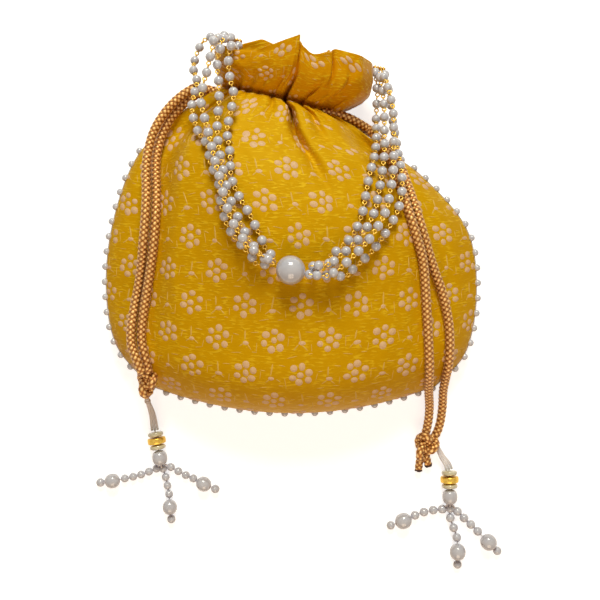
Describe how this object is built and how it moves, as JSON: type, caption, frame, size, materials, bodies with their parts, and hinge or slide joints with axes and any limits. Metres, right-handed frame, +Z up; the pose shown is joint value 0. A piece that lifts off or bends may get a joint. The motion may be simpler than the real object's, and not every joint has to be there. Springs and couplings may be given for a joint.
{
  "type": "potli drawstring bag",
  "caption": "Pouch of yellow brocade silk lying on its back, gathered at the neck by two tasselled drawstrings, with a pearl-edged seam and a swinging pearl-strand handle",
  "frame": {"origin": "middle of the box round the bag and its handle, on the table the bag lies on", "axes": "+X to the right across the front, +Y toward the mouth, +Z up from the table through the front panel"},
  "size_m": [0.2455, 0.3201, 0.0796],
  "materials": {
    "silk": "yellow brocade silk with pale woven flowers",
    "lining": "plain cream lining cloth",
    "zari_cord": "braided gold thread",
    "pearl": "imitation pearl with a soft lustre",
    "gold": "polished gold-coloured metal"
  },
  "bodies": {
    "body": {"back_panel": "silk", "drawstring_left": "zari_cord", "drawstring_left_knot": "zari_cord", "drawstring_right": "zari_cord", "drawstring_right_knot": "zari_cord", "edge_pearl_trim": "pearl", "front_panel": "silk", "handle_shank_left": "zari_cord", "handle_shank_right": "zari_cord", "lining": "lining", "tassel_left_barrel_pearl": "pearl", "tassel_left_core_string": "pearl", "tassel_left_gold_ring": "gold", "tassel_left_left_drop": "pearl", "tassel_left_left_string": "pearl", "tassel_left_lower_disc": "pearl", "tassel_left_middle_drop": "pearl", "tassel_left_right_drop": "pearl", "tassel_left_right_string": "pearl", "tassel_left_upper_disc": "pearl", "tassel_right_barrel_pearl": "pearl", "tassel_right_core_string": "pearl", "tassel_right_gold_ring": "gold", "tassel_right_left_drop": "pearl", "tassel_right_left_string": "pearl", "tassel_right_lower_disc": "pearl", "tassel_right_middle_drop": "pearl", "tassel_right_right_drop": "pearl", "tassel_right_right_string": "pearl", "tassel_right_upper_disc": "pearl"},
    "handle": {"handle_centre_pearl": "pearl", "handle_strand_1": "pearl", "handle_strand_2": "pearl", "handle_strand_3": "pearl", "handle_strand_4": "pearl"}
  },
  "joints": [
    {"name": "handle_swing", "type": "hinge", "parent": "body", "child": "handle", "pos_m": [-0.029, 0.107, 0.022], "axis": [-0.9816, 0.1912, 0], "range_deg": [0, 150]}
  ]
}
